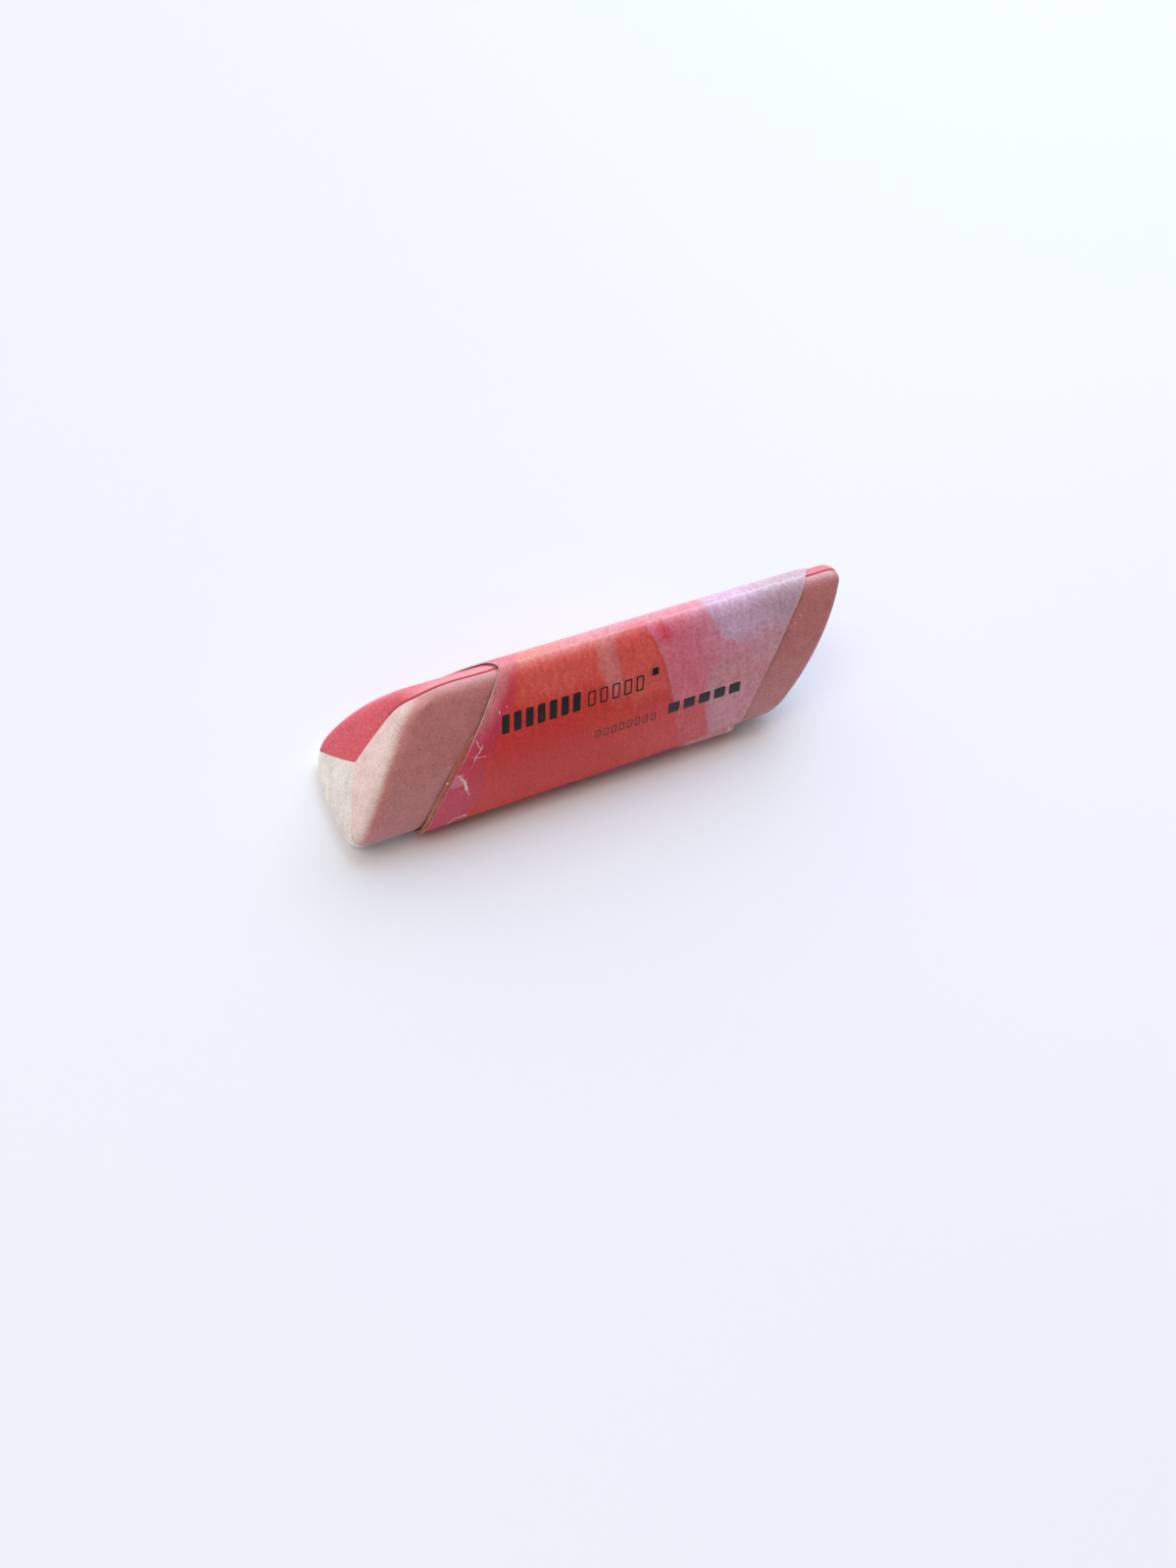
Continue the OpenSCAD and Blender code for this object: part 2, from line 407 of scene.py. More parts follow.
# %% [markdown]
# ## Three strips, three pieces
#
# On the real bar each colour is its own compound, so each strip is its own piece, and each takes the
# place of one CAD solid. Two numbers are stored with every point for the material to read: how far
# it belongs to a cut end, and how far it is from the nearest seam.

# %% Make the three strips
def cut_share(points):
    """1 on the cut ends and 0 along the sides, by how far along X a point lies from the nearer end."""
    edge_starts, edge_ends = 0.1 * mm, 0.8 * mm
    past_left = points[:, 0] - left_end(points[:, 1], points[:, 2])
    past_right = right_end(points[:, 1], points[:, 2]) - points[:, 0]
    return 1 - smooth_step(np.minimum(past_left, past_right), edge_starts, edge_ends)


strips = {}
for colour, node in (
    ("pink", "rubber_front_pink"), ("coral", "rubber_back_coral"), ("white", "rubber_base_white"),
):
    points, faces = join_grids(strip_grids(outlines[colour]))
    points, faces = merged(points, faces)
    share, seam = cut_share(points), from_seam(points)
    points = dented(wander(grooved(points))) + bar_middle
    strips[colour] = make_piece(f"{colour}_strip", points, faces, "rubber", node,
                                sharp_degrees=50)
    set_attribute(strips[colour], "cut_share", share)
    set_attribute(strips[colour], "from_seam", np.minimum(seam, corner_reach) / mm)
    print(colour, "strip:", len(points), "points,", len(faces), "faces")

# %% [markdown]
# ## The card sleeve
#
# The sleeve is one die-cut sheet. It starts as a glue tab on the front face, goes down and round
# under the base, up the back, over the ridge, and comes down over its own tab as the printed front
# panel. So it is a grid of two parameters: how far along the wrap, and how far along the bar. The
# wrap is a closed outline that the sheet follows for a turn and a third, and the front panel rides
# one card thickness further out, over the tab.

# %% The outline that the card wraps
card_t = 0.15 * mm
fit_gap = 0.06 * mm
ridge_in = corner_r + 0.14 * mm
fold_in = corner_r + fit_gap
panel_r = face_r + fit_gap
front_fold = front_centre + base_bulge * np.array([-math.tan(math.pi / 6), -1])
back_fold = front_fold * [-1, 1]


def wrap_outline():
    """The inside of the card once round, from the top of the ridge, down the front and back up."""
    front = corner_face_corner(ridge_centre, ridge_in, front_fold, fold_in, panel_r, 90, 270)
    back = corner_face_corner(back_fold, fold_in, ridge_centre, ridge_in, panel_r, 270, 450)
    return np.concatenate((front, back))


wrap = wrap_outline()
once_round = distances(wrap)[-1]
fold_middle = np.interp(math.pi, wrap[:, 2], distances(wrap))
print(f"the card goes {once_round / mm:.1f} mm round; its front fold is {fold_middle / mm:.1f} mm down")

# %% [markdown]
# ## The die cut
#
# In the flat sheet the sleeve's ends are straight cuts, slanted like the eraser's ends on the front
# and mirrored on the back, and square across the base. The free edge of the front panel was cut
# slightly askew, so it runs level with the fold at the right and slips under it further left. The
# tab's edge peeps out past the front panel at the left, fuzzy where the guillotine crushed it.

# %% Edges of the flat sheet
cut_slope = 0.757
left_cut = -9.4 * mm
left_tip_r = 0.4 * mm
right_cut = 28.9 * mm
right_tip = -1.3 * mm
tab_top = 6.5 * mm
# How far the tab shows past the front panel, and how far the panel's own corner flares, by mm from the ridge
TAB_AT = [6.5, 7.0, 8.1, 9.4, 12.1, 15.0, 17.0]
TAB_SHOWS = [0.2, 0.5, 0.72, 0.85, 1.1, 1.1, 0.7]
FLARE_AT = [8.0, 9.2, 10.6, 12.1, 13.6, 16.5]
FLARE = [0, 0.1, 0.3, 0.5, 0.6, 0.55]
# How far below the fold the free edge lies, by X in mm
SKEW_AT = [-25, 4, 18]
SKEW = [3.1, 0.7, -0.15]


def fuzz(along, scale, seed):
    """A ragged line between -1 and 1: sines of falling size whose wavelengths share no common length."""
    waves = [(1.0, 1.0), (0.6, 2.3), (0.45, 4.1), (0.3, 7.9), (0.2, 13.7)]
    total = sum(size * np.sin(along / scale * rate + seed * (1 + rate)) for size, rate in waves)
    return total / sum(size for size, _ in waves)


def slant(down, tip_r=0, past_fold=1.6 * mm):
    """How far a cut leans to the left at a distance from the ridge, on the front or the back, up to just
    past the fold. A rounded tip follows sqrt(down^2 + tip_r^2)."""
    panel = np.minimum(np.sqrt(down**2 + tip_r**2), fold_middle + past_fold)
    return cut_slope * panel


def left_edge(wrapped):
    """X of the sheet's left cut. On the first turn the tab sticks out further, the more the lower down."""
    down = wrapped - once_round
    first_turn = down < -once_round / 2
    tab_down = np.where(first_turn, wrapped, 0)
    tab_out = np.interp(tab_down / mm, TAB_AT, TAB_SHOWS) * mm
    flare = np.interp(down / mm, FLARE_AT, FLARE) * mm
    front = left_cut - slant(down, left_tip_r) - flare + 0.03 * mm * fuzz(down, 0.5 * mm, 2)
    tab = left_cut - slant(wrapped) - tab_out + 0.07 * mm * fuzz(wrapped, 0.35 * mm, 5)
    return np.where(first_turn, tab, front)


def right_edge(wrapped):
    """X of the sheet's right cut. Its tip lies a little behind the ridge, the tab stops short at its top,
    and the back comes round to meet the tab squarely."""
    down = wrapped - once_round
    first_turn = down < -once_round / 2
    bend = 0.5 * mm * smooth_step(down, 10 * mm, 16 * mm)
    clipped = 0.35 * mm * smooth_step(down, fold_middle - 0.5 * mm, fold_middle)
    near_ridge = 0.25 * mm * (1 - smooth_step(down, 1 * mm, 6 * mm))
    behind = smooth_step(-down, 6 * mm, fold_middle)
    tip = 2 * cut_slope * np.clip(-down, 0, -right_tip) + near_ridge
    front = right_cut - slant(down) + bend - clipped + tip * (1 - behind) - 0.3 * mm * behind
    past_fold = smooth_step(wrapped, tab_top, fold_middle - 1 * mm)
    tab = right_cut - slant(wrapped, past_fold=-0.6 * mm) - 1.5 * mm + 0.95 * mm * past_fold
    tab = tab + 0.03 * mm * fuzz(wrapped, 0.3 * mm, 6)
    return np.where(first_turn, tab, front + 0.02 * mm * fuzz(down, 0.6 * mm, 8))


def free_edge(x):
    """How far down from the ridge the front panel ends: level with the fold at the right, further down at
    the left."""
    return fold_middle + np.interp(x / mm, SKEW_AT, SKEW) * mm


at_ridge = [round(f(once_round) / mm, 1) for f in (left_edge, right_edge)]
print("at the ridge the sheet's cuts are at X =", at_ridge, "mm")

# %% [markdown]
# ## Folding the sheet
#
# Folding is only a lookup: a point that is so far along the wrap lies at that distance on the
# outline. Its inner side is the outline itself, and its outer side one thickness out along the
# direction that the outline faces. Card never lies quite flat, so the panels get a slow swell of a
# few hundredths of a millimetre, always outwards, because the rubber is right behind them.

# %% Fold the sheet into a grid
WRAP_ROWS = 380
BAR_COLUMNS = 130
score_lift = 0.18 * mm
score_round = 0.15
swell_lift = 0.03 * mm
edge_bulge = 0.3 * mm


def sheet_parameters():
    """Two grids: distance along the wrap, and X. The last rows stretch to end on the skewed free edge."""
    wrapped = np.linspace(tab_top, once_round + fold_middle, WRAP_ROWS)[:, None] + np.zeros((1, BAR_COLUMNS))
    share = np.linspace(0, 1, BAR_COLUMNS)[None, :]
    for _ in range(4):
        x = left_edge(wrapped) + (right_edge(wrapped) - left_edge(wrapped)) * share
        down = np.linspace(tab_top - once_round, fold_middle, WRAP_ROWS)[:, None]
        stretch = 1 + (free_edge(x) / fold_middle - 1) * smooth_step(down, 0, fold_middle)
        wrapped = once_round + np.where(down > 0, down * stretch, down)
    return wrapped, x


def card_lift(wrapped, x):
    """How far the inside of the card stands off the outline: one thickness over the tab, a slow swell, a
    bulge of the lower layer at the free edge, and the scored ridge: score_lift * exp(-distance / reach),
    steeper behind."""
    down = wrapped - once_round
    from_score = np.sqrt((down / mm) ** 2 + score_round**2) - score_round
    score = score_lift * np.exp(-from_score / np.where(down < 0, 0.8, 1.5))
    over_tab = card_t * smooth_step(down, 2.0 * mm, tab_top - 0.6 * mm) * 1.04
    swell = swell_lift * (1 + np.sin(x / (5.3 * mm) + down / (7 * mm)) * np.sin(down / (3.1 * mm)))
    past_free_edge = smooth_step(wrapped, fold_middle - 0.1 * mm, fold_middle + 0.3 * mm)
    further_down = smooth_step(wrapped, fold_middle + 1.4 * mm, fold_middle + 2.5 * mm)
    bulge = edge_bulge * past_free_edge * (1 - further_down)
    return over_tab + score + np.where(down > 0, swell, 0) + bulge * smooth_step(x, 4 * mm, 14 * mm)


def folded(wrapped, x, lift):
    """Points at a distance along the wrap, moved out by lift: outline + lift * (cos, sin) of its facing."""
    place = at_distance(wrap, wrapped % once_round)
    y = place[..., 0] + lift * np.cos(place[..., 2])
    z = place[..., 1] + lift * np.sin(place[..., 2])
    return np.stack((x, y, z), axis=-1)


wrapped, along_bar = sheet_parameters()
lift = card_lift(wrapped, along_bar)
inside = folded(wrapped, along_bar, lift)
outside = folded(wrapped, along_bar, lift + card_t)
print("sheet grid", wrapped.shape, "lift up to", round(float(lift.max()) / mm, 3), "mm")

# %% [markdown]
# ## Closing the card
#
# A sheet has an inside, an outside and four cut edges. The edges are grids of two rows each. Every
# point also keeps its place on the flat sheet, because the print is laid out there, and every face
# gets one of three finishes: printed, bare board inside, and cut board.

# %% Close the sheet's edges
edge_pairs = [
    (np.stack((outside[:, 0], inside[:, 0])), False), (np.stack((outside[:, -1], inside[:, -1])), True),
    (np.stack((outside[0], inside[0])), True), (np.stack((outside[-1], inside[-1])), False),
]
sleeve_points, sleeve_faces = join_grids([(outside, False), (inside, True)] + edge_pairs)
down = wrapped - once_round
flat_map = np.stack((along_bar, down), axis=-1).reshape(-1, 2)
on_sheet = flat_map.reshape(*down.shape, 2)
edge_maps = [on_sheet[:, 0], on_sheet[:, -1], on_sheet[0], on_sheet[-1]]
all_maps = np.concatenate([flat_map, flat_map] + [np.tile(m, (2, 1)) for m in edge_maps])
side_faces = len(grid_faces(*down.shape))
face_kind = np.repeat([0, 1, 2], [side_faces, side_faces, len(sleeve_faces) - 2 * side_faces])
print("sleeve:", len(sleeve_points), "points,", len(sleeve_faces), "faces")

# %% Make the sleeve
sleeve = make_piece("printed_sleeve", sleeve_points + bar_middle, sleeve_faces.tolist(), "sleeve",
                    "card_sleeve")
set_attribute(sleeve, "along", all_maps[:, 0] / mm)
set_attribute(sleeve, "down", all_maps[:, 1] / mm)
set_attribute(sleeve, "from_left", (all_maps[:, 0] - left_edge(all_maps[:, 1] + once_round)) / mm)
set_attribute(sleeve, "from_right", (right_edge(all_maps[:, 1] + once_round) - all_maps[:, 0]) / mm)
sleeve.data.polygons.foreach_set("material_index", face_kind.astype(np.int32))
print("faces printed, inside and cut:", [int((face_kind == k).sum()) for k in range(3)])

# %% [markdown]
# ## Node helpers
#
# A material in Blender is a graph of nodes. Written out one by one the nodes hide the idea, so what
# comes out of a node is held as a signal here. Sums on signals are written as plain sums, and a few
# helpers do the rest. Wherever a signal goes in, a plain number, place or colour may go in too.

# %% Sums on signals
class Signal:
    """What comes out of a node. It is added, subtracted and multiplied like a plain number, and each step
    becomes one more node."""

    def __init__(self, socket):
        self.socket = socket

    def __add__(self, other):
        return calc("ADD", self, other)

    def __radd__(self, other):
        return calc("ADD", other, self)

    def __sub__(self, other):
        return calc("SUBTRACT", self, other)

    def __rsub__(self, other):
        return calc("SUBTRACT", other, self)

    def __mul__(self, other):
        return calc("MULTIPLY", self, other)

    def __rmul__(self, other):
        return calc("MULTIPLY", other, self)


def wire(value, socket):
    """Links a signal to a socket, or sets a plain value on it."""
    if isinstance(value, Signal):
        socket.id_data.links.new(value.socket, socket)
    else:
        socket.default_value = value


def add_node(kind, values, **settings):
    """A new node in the tree that the values come from: first its settings, then each value into the socket
    of its name or number."""
    tree = next(value.socket.id_data for value in values.values() if isinstance(value, Signal))
    node = tree.nodes.new(kind)
    for setting, choice in settings.items():
        setattr(node, setting, choice)
    for socket, value in values.items():
        wire(value, node.inputs[socket])
    return node


def calc(operation, *values):
    """One step of arithmetic on numbers."""
    return Signal(add_node("ShaderNodeMath", dict(enumerate(values)), operation=operation).outputs[0])


def larger(a, b):
    """The larger of a and b."""
    return calc("MAXIMUM", a, b)


def smaller(a, b):
    """The smaller of a and b."""
    return calc("MINIMUM", a, b)


def vector_calc(operation, *values, output=0):
    """One step of arithmetic on vectors."""
    node = add_node("ShaderNodeVectorMath", dict(enumerate(values)), operation=operation)
    return Signal(node.outputs[output])


def dot(a, b):
    """The dot product of two vectors."""
    return vector_calc("DOT_PRODUCT", a, b, output=1)


def length(vector):
    """The length of a vector."""
    return vector_calc("LENGTH", vector, output=1)


def scaled(vector, factor):
    """A vector times a number."""
    node = add_node("ShaderNodeVectorMath", {0: vector, "Scale": factor}, operation="SCALE")
    return Signal(node.outputs[0])


print("sums on signals ready")


# %% Fades, mixes and places
def fade(value, low, high):
    """0 below low, 1 above high, and a smooth step between."""
    values = {"Value": value, "From Min": low, "From Max": high}
    return Signal(add_node("ShaderNodeMapRange", values, interpolation_type="SMOOTHSTEP").outputs["Result"])


def fade_out(value, low, high):
    """1 below low, 0 above high, and a smooth step between."""
    return 1 - fade(value, low, high)


def mix(share, a, b, blend="MIX"):
    """A colour between a and b. In a colour mix the sockets of a and b have the numbers 6 and 7."""
    node = add_node("ShaderNodeMix", {"Factor": share, 6: a, 7: b}, data_type="RGBA", blend_type=blend)
    return Signal(node.outputs[2])


def mix_numbers(share, a, b):
    """a + share * (b - a)."""
    return a + share * (b - a)


def deeper(colour, share):
    """A colour with its red, green and blue times a share."""
    return tuple(share * part for part in colour[:3]) + (1,)


def apart(vector):
    """The first two numbers of a vector."""
    node = add_node("ShaderNodeSeparateXYZ", {0: vector})
    return Signal(node.outputs[0]), Signal(node.outputs[1])


def together(x, y):
    """A flat vector from two numbers."""
    return Signal(add_node("ShaderNodeCombineXYZ", {0: x, 1: y}).outputs[0])


print("fades, mixes and places ready")


# %% Patterns, and what is read from the mesh
def noise(place, scale, detail=2.0, rough=0.5, output="Fac"):
    """Soft random blobs between 0 and 1, about 1 / scale across; the Color output holds three unlike ones."""
    values = {"Vector": place, "Scale": scale, "Detail": detail, "Roughness": rough}
    return Signal(add_node("ShaderNodeTexNoise", values).outputs[output])


def read(tree, name):
    """A number that was stored on the mesh."""
    node = tree.nodes.new("ShaderNodeAttribute")
    node.attribute_name = name
    return Signal(node.outputs["Fac"])


def in_mm(tree):
    """The place on the object in millimetres, so that sizes in a material are real sizes."""
    return scaled(Signal(tree.nodes.new("ShaderNodeTexCoord").outputs["Object"]), 1 / mm)


def bumped(height, distance, strength=1.0):
    """A normal tilted by a height pattern that is distance metres deep."""
    values = {"Strength": strength, "Distance": distance, "Height": height}
    return Signal(add_node("ShaderNodeBump", values).outputs["Normal"])


print("patterns ready")


# %% Groups and materials
def signals(outputs):
    """A node's outputs as signals, by name."""
    return {output.name: Signal(output) for output in outputs if output.name}


def new_group(name, inputs, outputs):
    """An empty shader node group with named sockets; gives its tree, its inputs by name and its output
    node."""
    tree = bpy.data.node_groups.new(name, "ShaderNodeTree")
    for socket, kind, value in inputs:
        made = tree.interface.new_socket(socket, in_out="INPUT", socket_type=f"NodeSocket{kind}")
        made.default_value = value
    for socket, kind in outputs:
        tree.interface.new_socket(socket, in_out="OUTPUT", socket_type=f"NodeSocket{kind}")
    into = tree.nodes.new("NodeGroupInput")
    return tree, signals(into.outputs), tree.nodes.new("NodeGroupOutput")


def use_group(group, **values):
    """Places a group in a material. A value's name is its socket's name with _ for spaces."""
    values = {name.replace("_", " "): value for name, value in values.items()}
    return signals(add_node("ShaderNodeGroup", values, node_tree=group).outputs)


def new_material(name, **constants):
    """A material whose shader has these fixed values; gives it with its tree and its shader node."""
    material = bpy.data.materials.new(name)
    material.use_nodes = True
    tree = material.node_tree
    shader = tree.nodes["Principled BSDF"]
    for socket, value in constants.items():
        shader.inputs[socket.replace("_", " ")].default_value = value
    return material, tree, shader


print("groups and materials ready")

# %% [markdown]
# ## Strokes
#
# Scratches, torn fibres and scuffs are all short lines with broken edges. One group makes any of
# them: how near a point is to the line from one place to another, less a little noise. It works on
# the flat sheet and just as well on the solid rubber, because a place is only a vector.

# %% A stroke between two places
stroke, given, out = new_group(
    "stroke",
    [("Place", "Vector", (0, 0, 0)), ("From", "Vector", (0, 0, 0)), ("To", "Vector", (1, 0, 0)),
     ("Width", "Float", 0.1), ("Broken", "Float", 0.5)],
    [("Mask", "Float")],
)
shaky = vector_calc("SUBTRACT", noise(given["Place"], 2.0, 1.0, output="Color"), (0.5, 0.5, 0.5))
shaken = vector_calc("ADD", given["Place"], vector_calc("MULTIPLY", shaky, (0.4, 0.4, 0.0)))
line = vector_calc("SUBTRACT", given["To"], given["From"])
toward = vector_calc("SUBTRACT", shaken, given["From"])
length_squared = dot(line, line)
share = calc("DIVIDE", dot(toward, line), length_squared)
share = smaller(larger(share, 0.0), 1.0)
miss = length(vector_calc("SUBTRACT", toward, scaled(line, share)))
rough_edge = noise(given["Place"], 5.0, 3.0, 0.7) * given["Broken"] * (given["Width"] * 2.0)
miss = miss + rough_edge
wire(fade_out(miss, given["Width"] * 0.6, given["Width"]), out.inputs["Mask"])
print("stroke group:", len(stroke.nodes), "nodes")

# %% [markdown]
# ## Rubber
#
# Eraser rubber is full of chalk, so it is dull, and under a low light it shows a fine mottle and a
# bloom of powder. Where the bar was cut and tumbled it is powdery and paler than on the moulded
# sides, and on the pink the paler cut colour is partly a painted sheen of the lit end. One group makes
# the grain for all three colours.

# %% The grain of the rubber
rubber_grain, given, out = new_group(
    "rubber_grain",
    [("Place", "Vector", (0, 0, 0)), ("Grain", "Float", 6.0), ("Specks", "Float", 0.5)],
    [("Tone", "Float"), ("Height", "Float"), ("Specks", "Float"), ("Powder", "Float")],
)
fine = noise(given["Place"], given["Grain"], 3.0, 0.65)
cloudy = noise(given["Place"], 0.7, 2.0, 0.5)
wire(fine * 0.68 + cloudy * 0.32, out.inputs["Tone"])
wire(fine + cloudy * 0.6, out.inputs["Height"])
sparse = noise(given["Place"], 2.6, 1.0, 0.4)
speck_line = 0.82 - given["Specks"] * 0.1
wire(fade(sparse, speck_line, speck_line + 0.03), out.inputs["Specks"])
powder = noise(given["Place"], 4.5, 4.0, 0.75)
wire(fade(powder, 0.48, 0.72), out.inputs["Powder"])
print("rubber grain group:", len(rubber_grain.nodes), "nodes")

# %% [markdown]
# ## Marks on the rubber, and painted shade beside the sleeve
#
# A used eraser has fine scratches and a few pits, which are painted darker. Beside the sleeve's cut the
# rubber gets a soft band of painted shade, with some grime, and a thin painted shadow line, as the card's
# edge would shade it. The scratches and pits are strokes with two ends each. The painted shade needs to
# know how far a point is from that cut, which is a plane on each face, so a dot product finds it.

# %% Scratches and pits
# Each mark: from and to, in mm from the bar's middle, its width in mm, and how broken it is
SCRATCHES = [
    ((-17.3, -2.5, 7.2), (-16.2, -2.9, 7.2), 0.10, 0.8),
    ((-20.4, -3.3, 6.4), (-19.4, -3.5, 6.4), 0.08, 0.9),
    ((-21.4, -3.4, 6.2), (-21.2, -4.3, 5.2), 0.09, 0.9),
    ((-31.0, -5.8, -3.0), (-30.4, -5.3, -4.2), 0.10, 0.9),
    ((-24.1, 1.6, 8.1), (-22.9, 1.2, 8.3), 0.08, 0.9),
    ((24.0, -6.0, 0.3), (24.6, -5.6, 1.0), 0.08, 0.9),
]
PITS = [
    ((-20.7, -4.2, 5.1), (-20.6, -4.4, 4.9), 0.16, 0.4),
    ((-19.6, -5.5, 3.2), (-19.6, -5.5, 3.0), 0.10, 0.2),
    ((-30.6, -5.6, -3.5), (-30.5, -5.6, -3.7), 0.12, 0.5),
    ((-29.7, -1.5, -3.6), (-29.6, -1.4, -3.7), 0.10, 0.5),
]


def from_bar(place):
    """A place given from the bar's middle in mm, in the mm of the object's own frame."""
    return tuple(float(p + m / mm) for p, m in zip(place, bar_middle))


def with_marks(place, colour, marks, share, paint):
    """A colour with each mark painted over it."""
    drawn = 0.0
    for start, end, width, broken in marks:
        mark = use_group(stroke, Place=place, From=from_bar(start), To=from_bar(end), Width=width,
                         Broken=broken)
        drawn = larger(drawn, mark["Mask"])
    return mix(drawn * share, colour, paint)


print(len(SCRATCHES), "scratches and", len(PITS), "pits")

# %% Painted shade beside the sleeve
# All in mm: how far below the ridge the faces start, how much longer than that drop / cos 30 the way round
# to them is, how far below the ridge the tab starts to show and shows fully, and by how much it shows.
RIDGE_DROP = 1.3
RIDGE_EXTRA = 1.25
TAB_TOP_DROP = 3.8
TAB_LOW_DROP = 9.0
TAB_SHOWING = 1.05
# The colour of the thin painted shadow line along the sleeve's cut
PAINTED_SHADOW = (0.10, 0.025, 0.022, 1)


def from_sleeve(place):
    """How far a point is past the sleeve's left cut, in mm, and negative on the bare side. The cut lies
    in the plane where x - (slope / cos 30) * z is constant. The way round the ridge is longer than the
    way down through it, so on the faces the cut lies RIDGE_EXTRA * slope further out. Low on the front
    the tab shows."""
    lean = cut_slope / math.cos(math.pi / 6)
    ridge_z = bar_middle[2] + corner_reach
    cut_at = (left_cut + bar_middle[0] - lean * ridge_z) / mm
    below = dot(place, (0, 0, -1)) + float(ridge_z / mm)
    on_face = fade(below, 0.0, RIDGE_DROP) * (RIDGE_EXTRA * cut_slope)
    in_front = calc("LESS_THAN", dot(place, (0, 1, 0)), 0.0)
    low = fade(below, TAB_TOP_DROP, TAB_LOW_DROP) * in_front
    past = dot(place, (1, 0, -lean)) - float(cut_at)
    return past + (on_face + low * TAB_SHOWING)


def with_painted_sleeve_shade(place, colour, moulded):
    """A colour with a soft band of painted shade, with some grime, up to the sleeve's cut and a thin painted
    shadow line along it, and none under the sleeve."""
    past_cut = from_sleeve(place)
    still_near = fade_out(past_cut, 0.1, 0.6)
    uneven = (noise(place, 0.9, 3.0) - 0.5) * 0.8
    # A soft band of painted shade, with some grime, up to the cut
    painted_shade = fade(past_cut + uneven, -1.3, 0.3) * 0.55
    colour = mix(painted_shade * still_near, colour, deeper(moulded, 0.45))
    # A thin painted shadow line right along the cut
    painted_shadow_line = fade(past_cut, -0.35, 0.0) * still_near
    return mix(painted_shadow_line * 0.6, colour, PAINTED_SHADOW)


print("on the faces the cut lies", round(RIDGE_EXTRA * cut_slope, 2), "mm further out than at the ridge")

# %% [markdown]
# ## Rubber in three colours
#
# All three compounds get the same material with their own colours. Along the corners a pale painted
# sheen stands for the highlight, weaker towards the right, and each seam gets a deeper colour as painted
# shade in its crease.

# %% The rubber's material
RUBBER_SHADES = (0.80, 0.74, 0.74, 1), (1.15, 1.21, 1.21, 1)
CHALK = (0.95, 0.78, 0.77, 1)
SCRATCHED = (0.85, 0.72, 0.72, 1)
# The painted sheen along the corners: how strong, how much weaker on the right, and its half width in mm
PAINTED_SHEEN = 0.42
LESS_PAINTED_SHEEN = 0.3
PAINTED_SHEEN_WIDTH = 1.7
MOULDED_ROUGHNESS = 0.4
CUT_ROUGHNESS = 0.75


def make_rubber(name, moulded, cut, speck, sheen_colour, seam_shade, seam):
    """Rubber that goes from its smooth moulded colour on the sides to its powdery colour on the cut ends,
    which on the pink is partly a painted sheen.
    """
    material, tree, shader = new_material(name, Specular_IOR_Level=0.9)
    place = in_mm(tree)
    grain = use_group(rubber_grain, Place=place, Grain=4.5, Specks=0.5)
    cut_here, off_seam = read(tree, "cut_share"), read(tree, "from_seam")
    colour = mix(cut_here, moulded, cut)
    shade = mix(fade(grain["Tone"], 0.3, 0.7), *RUBBER_SHADES)
    colour = mix(1.0, colour, shade, "MULTIPLY")
    colour = mix(grain["Specks"] * 0.6, colour, speck)
    powdery = grain["Powder"] * mix_numbers(cut_here, 0.04, 0.2)
    colour = mix(powdery, colour, CHALK)
    # The corners get a pale painted sheen, which weakens towards the right
    sheen_along_corner = fade_out(off_seam, seam, PAINTED_SHEEN_WIDTH) * (1 - cut_here)
    sheen_share = PAINTED_SHEEN - fade(apart(place)[0], 10.0, 25.0) * LESS_PAINTED_SHEEN
    colour = mix(sheen_along_corner * sheen_share, colour, sheen_colour)
    # Painted shade and a painted shadow line beside the sleeve's cut
    colour = with_painted_sleeve_shade(place, colour, moulded)
    colour = with_marks(place, colour, SCRATCHES, 0.6, SCRATCHED)
    colour = with_marks(place, colour, PITS, 0.7, deeper(moulded, 0.35))
    # Each seam gets a deeper colour: painted shade in its crease
    in_seam = fade_out(off_seam, 0.6 * seam, seam)
    colour = mix(in_seam * 0.9, colour, seam_shade)
    wire(colour, shader.inputs["Base Color"])
    dull = larger(cut_here, in_seam)
    wire(mix_numbers(dull, MOULDED_ROUGHNESS, CUT_ROUGHNESS), shader.inputs["Roughness"])
    wire(bumped(grain["Height"], 0.025 * mm, 0.6), shader.inputs["Normal"])
    return material


# The half width of the painted sheen along the corners
print("corners bloom for", PAINTED_SHEEN_WIDTH, "mm on each side of a seam")

# %% Each strip's colours
# Moulded, cut, speck, painted sheen and painted seam shade colours, and the half width of the seam shade
# in mm. The pink's paler cut colour is partly a painted sheen of its lit end.
WHITE_RUBBER = (0.93, 0.885, 0.85, 1)
COMPOUNDS = {
    "pink": ((0.64, 0.240, 0.245, 1), (0.98, 0.76, 0.75, 1), (0.9, 0.75, 0.72, 1), (0.80, 0.46, 0.52, 1),
             (0.58, 0.24, 0.24, 1), 0.08),
    "coral": ((0.80, 0.125, 0.19, 1), (0.76, 0.075, 0.12, 1), (0.95, 0.75, 0.75, 1), (1.0, 0.56, 0.62, 1),
              (0.50, 0.004, 0.030, 1), 0.34),
    "white": (WHITE_RUBBER, WHITE_RUBBER, (0.5, 0.45, 0.4, 1), (0.9, 0.87, 0.85, 1),
              (0.72, 0.62, 0.57, 1), 0.10),
}
for colour, compound in COMPOUNDS.items():
    strips[colour].data.materials.append(make_rubber(f"{colour}_rubber", *compound))
print("rubber materials:", [s.data.materials[0].name for s in strips.values()])

